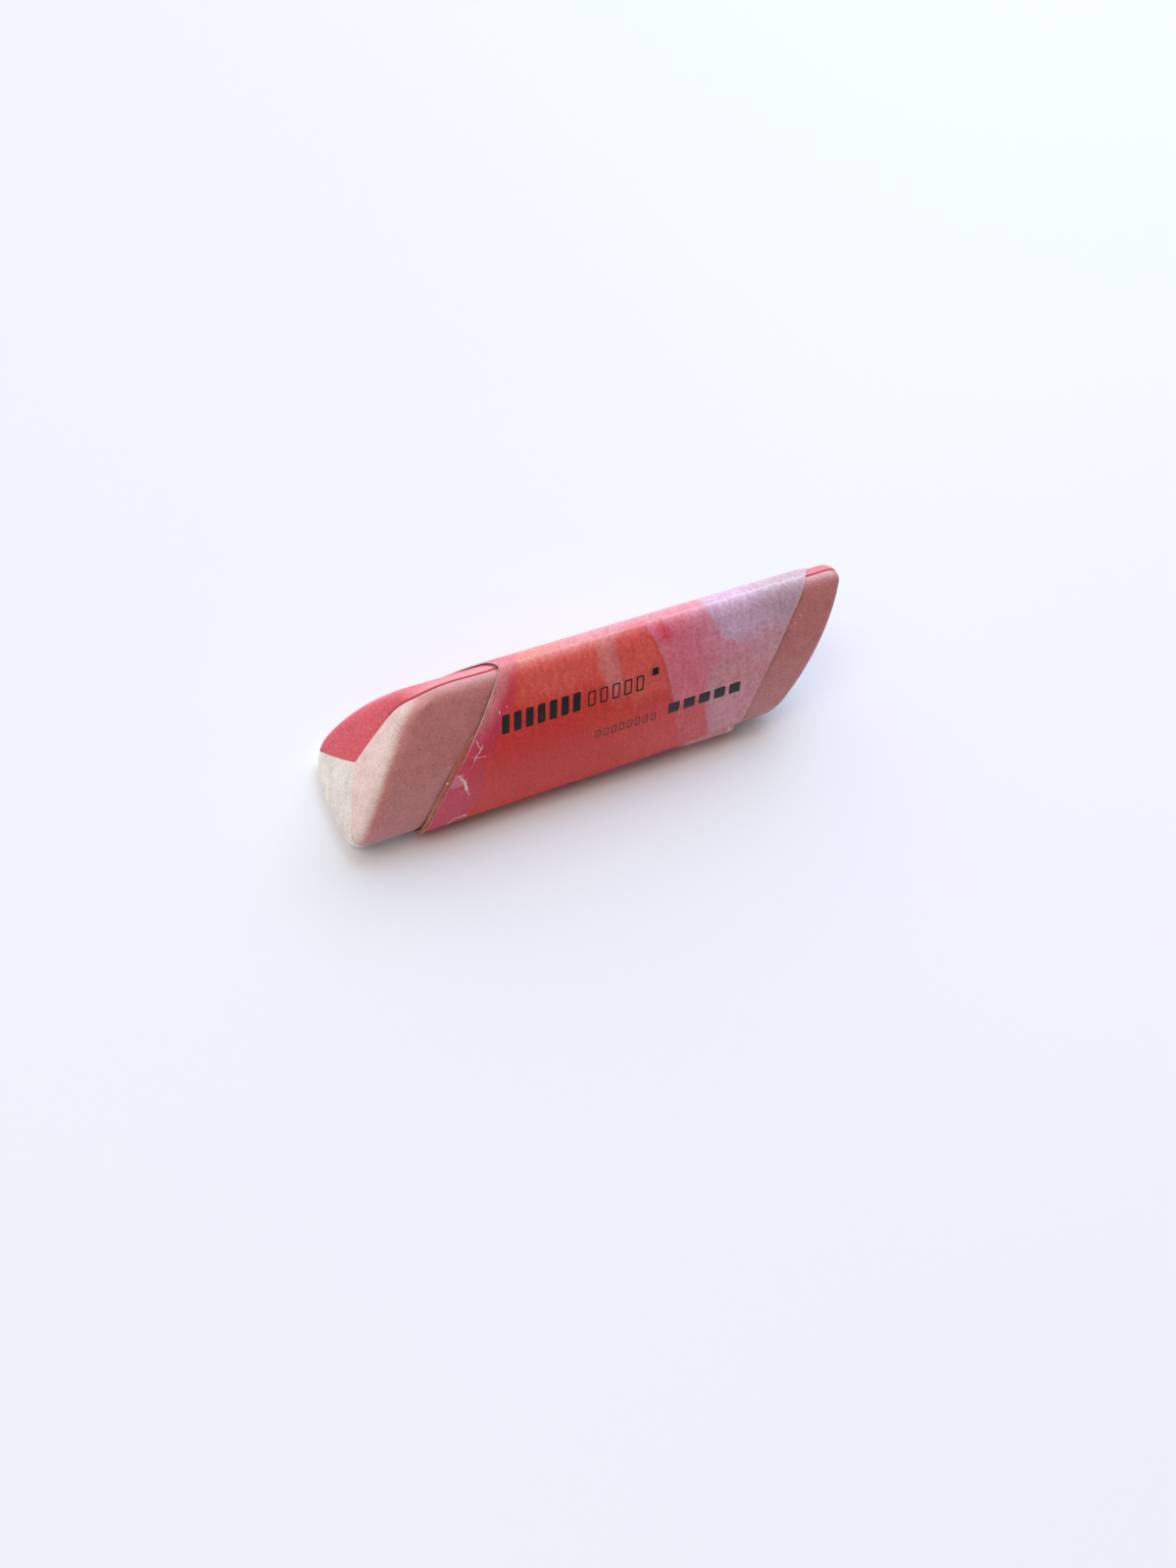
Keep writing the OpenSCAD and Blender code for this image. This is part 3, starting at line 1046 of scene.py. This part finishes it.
# %% [markdown]
# ## The printed wash
#
# The card is printed with a watercolour wash: broad patches of magenta, red, orange, pink and lilac
# that run into each other. A wet patch has an uneven border, and pigment gathers just inside it. So
# a patch here is a rounded oblong on the flat sheet, where (x^4 + y^4)^(1/4) is less than 1, whose
# border is pushed about by noise. It gives two masks: the patch itself and its darker rim. Places on
# the sheet are `along` the bar and `down` from the ridge, both in millimetres.

# %% A patch of wash
wash_patch, given, out = new_group(
    "wash_patch",
    [("Place", "Vector", (0, 0, 0)), ("Centre", "Vector", (0, 0, 0)), ("Size", "Vector", (5, 5, 1)),
     ("Lean", "Float", 0.0), ("Soft", "Float", 0.3), ("Ragged", "Float", 0.3)],
    [("Mask", "Float"), ("Rim", "Float")],
)
moved = vector_calc("ADD", given["Place"], scaled(given["Centre"], 3.7))
pushed = noise(moved, 0.35, 5.0, 0.6) - 0.5
offset = vector_calc("SUBTRACT", given["Place"], given["Centre"])
x, y = apart(offset)
leaned = together(x + y * given["Lean"], y)
unit = vector_calc("DIVIDE", leaned, given["Size"])
squared = vector_calc("MULTIPLY", unit, unit)
reach = calc("SQRT", length(squared)) + pushed * given["Ragged"]
inner = 1 - given["Soft"]
outer = 1 + given["Soft"]
mask = fade_out(reach, inner, outer)
wire(mask, out.inputs["Mask"])
wire(mask * fade(reach, 0.8, 1.0), out.inputs["Rim"])
print("wash patch group:", len(wash_patch.nodes), "nodes")

# %% [markdown]
# ## A plain printed motif
#
# Over the wash the sleeve carries a little black print. It is made here as rows of slanted bars,
# some solid and some in outline, which say nothing and name nobody. A row is one bar repeated by
# taking the distance along it modulo the pitch, and stopping after a count.

# %% A row of slanted bars
bar_row, given, out = new_group(
    "bar_row",
    [("Place", "Vector", (0, 0, 0)), ("Start", "Vector", (0, 0, 0)), ("Half bar", "Vector", (0.5, 1, 0)),
     ("Pitch", "Float", 2.0), ("Count", "Float", 5.0), ("Lean", "Float", 0.25), ("Line", "Float", 9.0),
     ("Round", "Float", 0.2)],
    [("Mask", "Float")],
)
x, y = apart(vector_calc("SUBTRACT", given["Place"], given["Start"]))
x = x + y * given["Lean"]
number = calc("FLOOR", calc("DIVIDE", x, given["Pitch"]))
middle = (number + 0.5) * given["Pitch"]
half_width, half_height = apart(given["Half bar"])
past_side = calc("ABSOLUTE", x - middle) - half_width
past_top = calc("ABSOLUTE", y) - half_height
round_side = past_side + given["Round"]
round_top = past_top + given["Round"]
beyond = together(larger(round_side, 0.0), larger(round_top, 0.0))
within = smaller(larger(round_side, round_top), 0.0)
past = length(beyond) + (within - given["Round"])
uneven = noise(given["Place"], 4.0, 2.0) - 0.5
past = past + uneven * 0.05
ink = fade_out(past, -0.03, 0.03)
hollow = fade_out(past + given["Line"], -0.03, 0.03)
past_first = calc("GREATER_THAN", number, -0.5)
in_row = past_first * calc("LESS_THAN", number, given["Count"] - 0.5)
wire((ink - hollow) * in_row, out.inputs["Mask"])
print("bar row group:", len(bar_row.nodes), "nodes")

# %% [markdown]
# ## Paper
#
# Coated card has a fine tooth: a laid weave from the felt it was pressed on, a quarter of a
# millimetre apart, and soft cloudy unevenness. The same tooth shows in the bare board.

# %% The tooth of the card
paper_tooth, given, out = new_group(
    "paper_tooth",
    [("Place", "Vector", (0, 0, 0)), ("Weave", "Float", 1.0)],
    [("Tone", "Float"), ("Height", "Float"), ("Streaks", "Float")],
)
x, y = apart(given["Place"])
wobble = noise(given["Place"], 0.8, 1.0) * 3.0
laid = calc("SINE", y * 25.0 + wobble)
chained = calc("SINE", x * 21.0 + wobble)
weave = (laid + chained * 0.6) * given["Weave"]
tooth = noise(given["Place"], 5.0, 3.0, 0.7)
wire(weave * 0.09 + tooth, out.inputs["Height"])
wire(weave * 0.07 + noise(given["Place"], 2.2, 4.0, 0.65), out.inputs["Tone"])
brushed = together(x + y * 0.12, y * 0.35)
wire(noise(brushed, 1.3, 4.0, 0.65), out.inputs["Streaks"])
print("paper tooth group:", len(paper_tooth.nodes), "nodes")

# %% [markdown]
# ## The printed sleeve
#
# The wash is built up as a painter would: a red ground, then one patch after another over it, the
# last on top. Then come the paper's tooth, the black motif, and at the very end the places where the
# print has rubbed off: short strokes near the left cut, and a thin pale line along both cuts.

# %% The patches of wash
tab_down = -once_round / mm
# Each patch: colour, centre (along, down), half sizes, lean, softness, raggedness, rim
PATCHES = [
    ((0.88, 0.130, 0.115, 1), (-3, 0.5), (6.5, 4.5), -0.1, 0.4, 0.6, 0),
    # This row is a pale pink over the ridge, partly print and partly a painted highlight
    ((0.90, 0.26, 0.25, 1), (-3, -1.2), (8, 2.0), 0.0, 0.4, 0.4, 0),
    ((0.84, 0.24, 0.24, 1), (2.7, 2.6), (1.3, 4.5), 0.0, 0.45, 0.6, 0),
    ((0.80, 0.080, 0.042, 1), (0.8, 14.5), (3.2, 6.5), 0.0, 0.4, 0.6, 0),
    ((0.84, 0.215, 0.320, 1), (20.4, 8), (11.6, 27), -0.10, 0.025, 0.15, 0),
    ((0.86, 0.125, 0.110, 1), (6.3, 5.6), (2.7, 5.2), -0.13, 0.07, 0.25, 0.5),
    ((0.80, 0.058, 0.058, 1), (6.9, 13.8), (2.7, 5.5), -0.03, 0.15, 0.4, 0.3),
    ((0.80, 0.20, 0.24, 1), (3.3, 2.4), (0.3, 2.4), 0.0, 0.9, 0.9, 0),
    ((0.80, 0.110, 0.175, 1), (9.7, 1.4), (0.8, 1.4), -0.2, 0.6, 0.9, 0),
    ((0.80, 0.33, 0.47, 1), (19.2, 6), (4.6, 12), -0.1, 0.45, 0.5, 0),
    ((0.80, 0.105, 0.125, 1), (11.4, 14.2), (2.1, 4.2), -0.08, 0.15, 0.35, 0.2),
    ((0.77, 0.34, 0.43, 1), (21, 14), (7.6, 7.5), -0.02, 0.06, 0.2, 0.25),
    ((0.76, 0.50, 0.74, 1), (24.8, -0.6), (9.2, 6.5), -0.12, 0.03, 0.15, 0.3),
    ((0.62, 0.43, 0.55, 1), (26.8, 1.2), (4.6, 4.0), 0.0, 0.6, 0.4, 0),
    ((0.74, 0.40, 0.52, 1), (25.0, 6.4), (5.0, 1.9), -0.3, 0.6, 0.5, 0),
    # This row is a paler pink over the ridge, partly print and partly a painted highlight
    ((0.80, 0.28, 0.38, 1), (7, -2.2), (9.0, 2.2), 0.0, 0.35, 0.6, 0),
    ((0.74, 0.046, 0.130, 1), (-21.9, 9), (9.0, 12), 0.6, 0.07, 0.28, 0.2),
    ((0.76, 0.022, 0.015, 1), (-5.5, 13.6), (9.5, 4.6), 0.0, 0.5, 0.6, 0),
    ((0.82, 0.20, 0.24, 1), (-10.9, 2.2), (1.5, 3.6), 0.757, 0.5, 0.5, 0),
    # This row darkens the card's underside below the front fold: painted shade where it faces the floor
    ((0.34, 0.015, 0.018, 1), (-9, 18.9), (12, 2.0), 0.0, 0.25, 0.25, 0),
    ((0.44, 0.03, 0.13, 1), (5, 18.6), (5.5, 1.9), 0.0, 0.2, 0.25, 0),
    ((0.82, 0.10, 0.055, 1), (-6, -9), (5.5, 5.0), 0.4, 0.45, 0.7, 0),
    ((0.86, 0.115, 0.105, 1), (9.5, -10.5), (3.4, 6.2), 0.25, 0.06, 0.5, 0.4),
    ((0.77, 0.30, 0.37, 1), (17, -14.5), (5.5, 5.0), 0.3, 0.08, 0.5, 0.3),
    ((0.74, 0.046, 0.130, 1), (-16.5, -14.5), (6.5, 5.0), -0.7, 0.08, 0.4, 0.2),
    ((0.50, 0.03, 0.13, 1), (2, tab_down + 17.2), (9, 2.4), 0.0, 0.2, 0.3, 0),
    ((0.76, 0.32, 0.33, 1), (15.5, tab_down + 17.2), (5.2, 2.4), 0.0, 0.2, 0.3, 0),
    ((0.60, 0.125, 0.100, 1), (-19, tab_down + 9), (6, 9), 0.0, 0.1, 0.3, 0),
    ((0.62, 0.20, 0.115, 1), (-22, tab_down + 15), (3, 2.5), 0.0, 0.3, 0.3, 0),
]
print(len(PATCHES), "patches of wash")

# %% Where the print is worn
# Each worn stroke: from (along, down), to (along, down), width, how broken
WORN = [
    ((-14.4, 7.2), (-14.3, 7.9), 0.08, 0.3), ((-14.3, 7.9), (-14.1, 8.2), 0.08, 0.3),
    ((-14.1, 8.2), (-13.9, 7.8), 0.08, 0.3), ((-14.1, 8.2), (-14.9, 8.9), 0.09, 0.4),
    ((-14.9, 8.9), (-15.2, 9.4), 0.11, 0.3), ((-15.2, 9.4), (-16.0, 10.2), 0.06, 0.7),
    ((-15.0, 9.0), (-13.8, 9.2), 0.08, 0.4), ((-15.4, 8.9), (-15.0, 9.0), 0.06, 0.5),
    ((-17.2, 10.6), (-16.8, 11.4), 0.26, 0.4), ((-16.8, 11.4), (-16.7, 12.5), 0.30, 0.3),
    ((-16.8, 12.5), (-16.6, 13.2), 0.17, 0.5), ((-16.7, 11.4), (-16.4, 11.1), 0.07, 0.5),
    ((-17.7, 12.3), (-16.9, 12.9), 0.14, 0.8), ((-19.6, 16.4), (-18.7, 15.8), 0.36, 0.6),
    ((-18.7, 15.8), (-17.4, 15.8), 0.30, 0.5), ((-16.5, 13.6), (-16.5, 13.9), 0.12, 0.9),
    ((-16.6, 14.2), (-16.6, 14.3), 0.11, 0.9), ((-20.2, 17.0), (-18.0, 17.0), 0.20, 1.0),
    ((-13.5, 17.0), (-12.8, 16.9), 0.20, 0.6), ((-11.2, 4.7), (-11.2, 4.9), 0.14, 0.3),
    ((-10.2, 4.4), (-10.1, 4.5), 0.09, 0.3), ((-12.6, 5.2), (-12.3, 6.0), 0.05, 0.8),
    ((5.4, 15.9), (5.6, 16.0), 0.14, 0.6), ((10.4, 14.1), (10.4, 14.2), 0.14, 0.5),
    ((13.55, 7.3), (13.55, 7.35), 0.10, 0.5), ((12.7, 8.2), (12.7, 8.25), 0.08, 0.5),
    ((-8.1, 2.2), (-8.1, 2.25), 0.07, 0.5), ((16.95, 9.0), (17.0, 9.0), 0.08, 0.5),
    ((-18.7, tab_down + 10.9), (-18.6, tab_down + 11.1), 0.16, 0.3),
    ((16.3, tab_down + 15.8), (16.4, tab_down + 17.0), 0.2, 0.2),
]


def edge_wear(tree, place):
    """White along the cuts, where the print has rubbed off: near a cut, less a fuzzy noise."""
    fuzzy = noise(place, 4.0, 4.0, 0.7) * 0.2
    near_left = fade_out(read(tree, "from_left") + fuzzy, 0.1, 0.17)
    near_right = fade_out(read(tree, "from_right") + fuzzy, 0.12, 0.18)
    upper = fade_out(read(tree, "down"), 5.0, 10.0)
    front = fade(read(tree, "down"), tab_down / 2, tab_down / 2 + 1)
    near_left = near_left * ((upper + 0.25) * front)
    speckled = fade(noise(place, 11.0, 1.0), 0.54, 0.64) * upper
    band = fade_out(read(tree, "from_left"), 0.1, 2.0)
    speckled = speckled * band * (front * 0.5)
    near_cuts = smaller(larger(near_left, near_right), 1.0)
    return larger(near_cuts, speckled)


print(len(WORN), "worn strokes")

# %% The printed card's material
# Each row of the motif: start (along, down), half a bar's width and height, pitch, count, width of its line.
# A line of 9 mm is wider than a bar, so the bar is solid.
SOLID = 9.0
MOTIF = [
    ((-11.5, 6.3), (0.46, 1.05), 1.42, 7, SOLID), ((-1.2, 6.4), (0.48, 0.85), 1.5, 5, 0.19),
    ((6.9, 5.6), (0.42, 0.42), 1.5, 1, SOLID), ((-1.0, 10.8), (0.33, 0.46), 1.0, 8, 0.13),
    ((8.2, 10.5), (0.74, 0.6), 2.0, 5, SOLID),
]
GROUND = (0.80, 0.044, 0.042, 1)
STREAK_SHADES = (0.94, 0.85, 0.87, 1), (1.05, 1.14, 1.12, 1)
TOOTH_SHADES = (0.86, 0.72, 0.72, 1), (1.12, 1.28, 1.28, 1)
FIBRES = (0.85, 0.42, 0.42, 1)
INK = (0.012, 0.015, 0.020, 1)
SCUFFED = (0.85, 0.45, 0.62, 1)
BARE = (0.95, 0.80, 0.80, 1)


def make_printed_card():
    """The sleeve's outside: patches of wash over a red ground, a plain motif, and white where it is worn."""
    material, tree, shader = new_material("printed_card", Roughness=0.32, Specular_IOR_Level=0.75)
    place = together(read(tree, "along"), read(tree, "down"))
    tooth = use_group(paper_tooth, Place=place, Weave=1.0)
    colour = GROUND
    for paint, centre, size, lean, soft, ragged, rim in PATCHES:
        patch = use_group(wash_patch, Place=place, Centre=(*centre, 0), Size=(*size, 1), Lean=lean,
                          Soft=soft, Ragged=ragged)
        colour = mix(patch["Mask"], colour, paint)
        if rim:
            colour = mix(patch["Rim"] * rim, colour, deeper(paint, 0.75))
    streaks = mix(fade(tooth["Streaks"], 0.3, 0.7), *STREAK_SHADES)
    colour = mix(1.0, colour, streaks, "MULTIPLY")
    mottle = mix(fade(tooth["Tone"], 0.25, 0.75), *TOOTH_SHADES)
    colour = mix(1.0, colour, mottle, "MULTIPLY")
    fibres = fade(noise(place, 4.0, 3.0, 0.7), 0.48, 0.72) * 0.14
    colour = mix(fibres, colour, FIBRES)
    for start, bar, pitch, count, line in MOTIF:
        row = use_group(bar_row, Place=place, Start=(*start, 0), Half_bar=(*bar, 0), Pitch=pitch,
                        Count=count, Line=line, Round=0.16)
        kept = fade(noise(place, 2.6, 3.0, 0.7), 0.27, 0.32)
        colour = mix(row["Mask"] * kept, colour, INK)
    scuffed = use_group(wash_patch, Place=place, Centre=(-17.5, 11.1, 0), Size=(0.62, 0.7, 1), Lean=0.5,
                        Soft=0.25, Ragged=0.5)
    colour = mix(scuffed["Mask"] * 0.42, colour, SCUFFED)
    worn = edge_wear(tree, place)
    for start, end, width, broken in WORN:
        mark = use_group(stroke, Place=place, From=(*start, 0), To=(*end, 0), Width=width, Broken=broken)
        worn = larger(worn, mark["Mask"])
    colour = mix(worn, colour, BARE)
    wire(colour, shader.inputs["Base Color"])
    height = tooth["Height"] - worn * 2.0
    wire(bumped(height, 0.012 * mm), shader.inputs["Normal"])
    return material


print(len(MOTIF), "rows of bars in the motif")


# %% The bare board, and the sleeve's three finishes
BOARD_SHADES = (0.75, 0.73, 0.7, 1), (1.1, 1.1, 1.1, 1)


def make_board(name, colour, soiled):
    """Bare board, as on the inside of the card and along its cuts, soiled on the tab and low on the left
    cut."""
    material, tree, shader = new_material(name, Roughness=0.8)
    on_tab = fade_out(read(tree, "down"), tab_down / 2, tab_down / 2 + 1)
    low = fade(read(tree, "down"), 5.0, 10.0) * 0.95
    low_left = low * calc("LESS_THAN", read(tree, "along"), 0.0)
    dirt = larger(on_tab, low_left)
    tooth = use_group(paper_tooth, Place=in_mm(tree), Weave=0.0)
    shade = mix(tooth["Tone"], *BOARD_SHADES)
    dirt = dirt * fade(tooth["Tone"], 0.2, 0.55)
    colour = mix(1.0, mix(dirt, colour, soiled), shade, "MULTIPLY")
    wire(colour, shader.inputs["Base Color"])
    wire(bumped(tooth["Height"], 0.02 * mm), shader.inputs["Normal"])
    return material


for material in (
    make_printed_card(),
    make_board("board_inside", (0.55, 0.50, 0.45, 1), (0.5, 0.4, 0.33, 1)),
    make_board("board_cut", (1.0, 0.92, 0.91, 1), (0.60, 0.27, 0.18, 1)),
):
    sleeve.data.materials.append(material)
print("sleeve materials:", [m.name for m in sleeve.data.materials])

# %% [markdown]
# ## The floor
#
# The eraser stands on a plain pale table. It is one big square just under the card, a little cool
# in colour, and it isn't part of the object.

# %% Floor
floor_mesh = bpy.data.meshes.new("floor")
floor_reach = 1.5
floor_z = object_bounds()[0][2]
corners = [(x * floor_reach, y * floor_reach, floor_z) for x, y in ((-1, -1), (1, -1), (1, 1), (-1, 1))]
floor_mesh.from_pydata(corners, [], [(0, 1, 2, 3)])
floor = bpy.data.objects.new("floor", floor_mesh)
bpy.context.scene.collection.objects.link(floor)
pale_blue = (0.86, 0.90, 1.0, 1)
floor_mesh.materials.append(new_material("pale_table", Roughness=0.6, Base_Color=pale_blue)[0])
print("floor", 2 * floor_reach, "m wide,", round(floor_z / mm, 2), "mm up")

# %% [markdown]
# ## The light
#
# The room has a large window behind the eraser to the right, which lights the ridge and the end that
# faces away, and three weak fills: a warm glow off the ceiling, a cool door at the left, and a warm
# room in front. The sky is a bright wall behind the eraser that fades to nothing in front. Where the
# camera looks past the floor it sees a plain pale backdrop, which lights nothing.

# %% Lamps
def add_window(name, direction, distance, size, level, colour):
    """A square lamp that points at the eraser. Level is the brightness it gives a white surface that
    faces it: power = level * pi^2 * distance^2."""
    lamp = bpy.data.lights.new(name, "AREA")
    lamp.size = size
    lamp.energy = level * math.pi**2 * distance**2
    lamp.color = colour
    window = bpy.data.objects.new(name, lamp)
    bpy.context.scene.collection.objects.link(window)
    toward = np.array(direction) / np.linalg.norm(direction)
    window.location = bar_middle + toward * distance
    window.rotation_euler = (-Vector(toward)).to_track_quat("-Z", "Y").to_euler()
    return window


add_window("right_window", (0.55, 0.45, 0.70), 1.4, 0.9, 0.5, (0.83, 1.0, 1.25))
add_window("ceiling_glow", (-0.35, -0.05, 0.93), 1.4, 0.9, 0.19, (1.38, 1.0, 0.76))
add_window("left_door", (-0.8, -0.25, 0.55), 1.2, 0.9, 0.1, (0.78, 1.0, 1.12))
add_window("room_fill", (-0.2, -0.85, 0.5), 1.4, 1.1, 0.085, (1.45, 1.0, 0.66))
print("a window and three weak fills")

# %% Sky and backdrop
wall_side = (0.0, 0.95, 0.31)
wall_strength = 1.36
wall_colour = (1.0, 1.0, 0.93, 1)
backdrop_colour = (0.84, 0.87, 0.93, 1)
world = bpy.data.worlds.new("room")
world.use_nodes = True
room = world.node_tree
sky = room.nodes["Background"]
sky.inputs["Color"].default_value = wall_colour
toward = Signal(room.nodes.new("ShaderNodeTexCoord").outputs["Generated"])
brighter_side = dot(toward, wall_side)
wire(larger(brighter_side * wall_strength, 0.0), sky.inputs["Strength"])
seen = room.nodes.new("ShaderNodeBackground")
seen.inputs["Color"].default_value = backdrop_colour
by_ray = room.nodes.new("ShaderNodeMixShader")
camera_ray = room.nodes.new("ShaderNodeLightPath").outputs["Is Camera Ray"]
for output, socket in zip((camera_ray, sky.outputs[0], seen.outputs[0]), by_ray.inputs):
    room.links.new(output, socket)
room.links.new(by_ray.outputs[0], room.nodes["World Output"].inputs["Surface"])
bpy.context.scene.world = world
bpy.context.scene.view_settings.view_transform = "Standard"
print("a bright wall behind the eraser, and a pale backdrop")

# %% [markdown]
# ## The camera
#
# The camera looks down on the front face from close by, turned a little to see the left end. Its
# place follows from three angles, a distance and the point of the view plane that the bar's middle
# falls on.

# %% Camera
look_down = math.radians(54.163)
look_round = math.radians(25.856)
roll = math.radians(-2.992)
camera_distance = 133.84 * mm
aim = np.array([-1.754, 10.318]) * mm


def camera_axes():
    """The camera's right, up and back axes: a turn about Z, a tilt down, and a small roll about the view
    line."""
    turn = np.array([[math.cos(look_round), math.sin(look_round), 0],
                     [-math.sin(look_round), math.cos(look_round), 0], [0, 0, 1]])
    right = turn @ [1, 0, 0]
    up = turn @ [0, math.sin(look_down), math.cos(look_down)]
    back = turn @ [0, -math.cos(look_down), math.sin(look_down)]
    c, s = math.cos(roll), math.sin(roll)
    return right, up, back, c * right - s * up, s * right + c * up


right, up, back, rolled_right, rolled_up = camera_axes()
camera_data = bpy.data.cameras.new("camera")
camera_data.sensor_width = 36
camera_data.lens = 25.875
camera_data.clip_start = 0.005
camera = bpy.data.objects.new("camera", camera_data)
bpy.context.scene.collection.objects.link(camera)
eye = bar_middle - aim[0] * right - aim[1] * up + camera_distance * back
pose = np.eye(4)
pose[:3, 0], pose[:3, 1], pose[:3, 2], pose[:3, 3] = rolled_right, rolled_up, back, eye
camera.matrix_world = Matrix(pose.tolist())
bpy.context.scene.camera = camera
print("camera at", [round(float(c) / mm, 1) for c in eye], "mm")
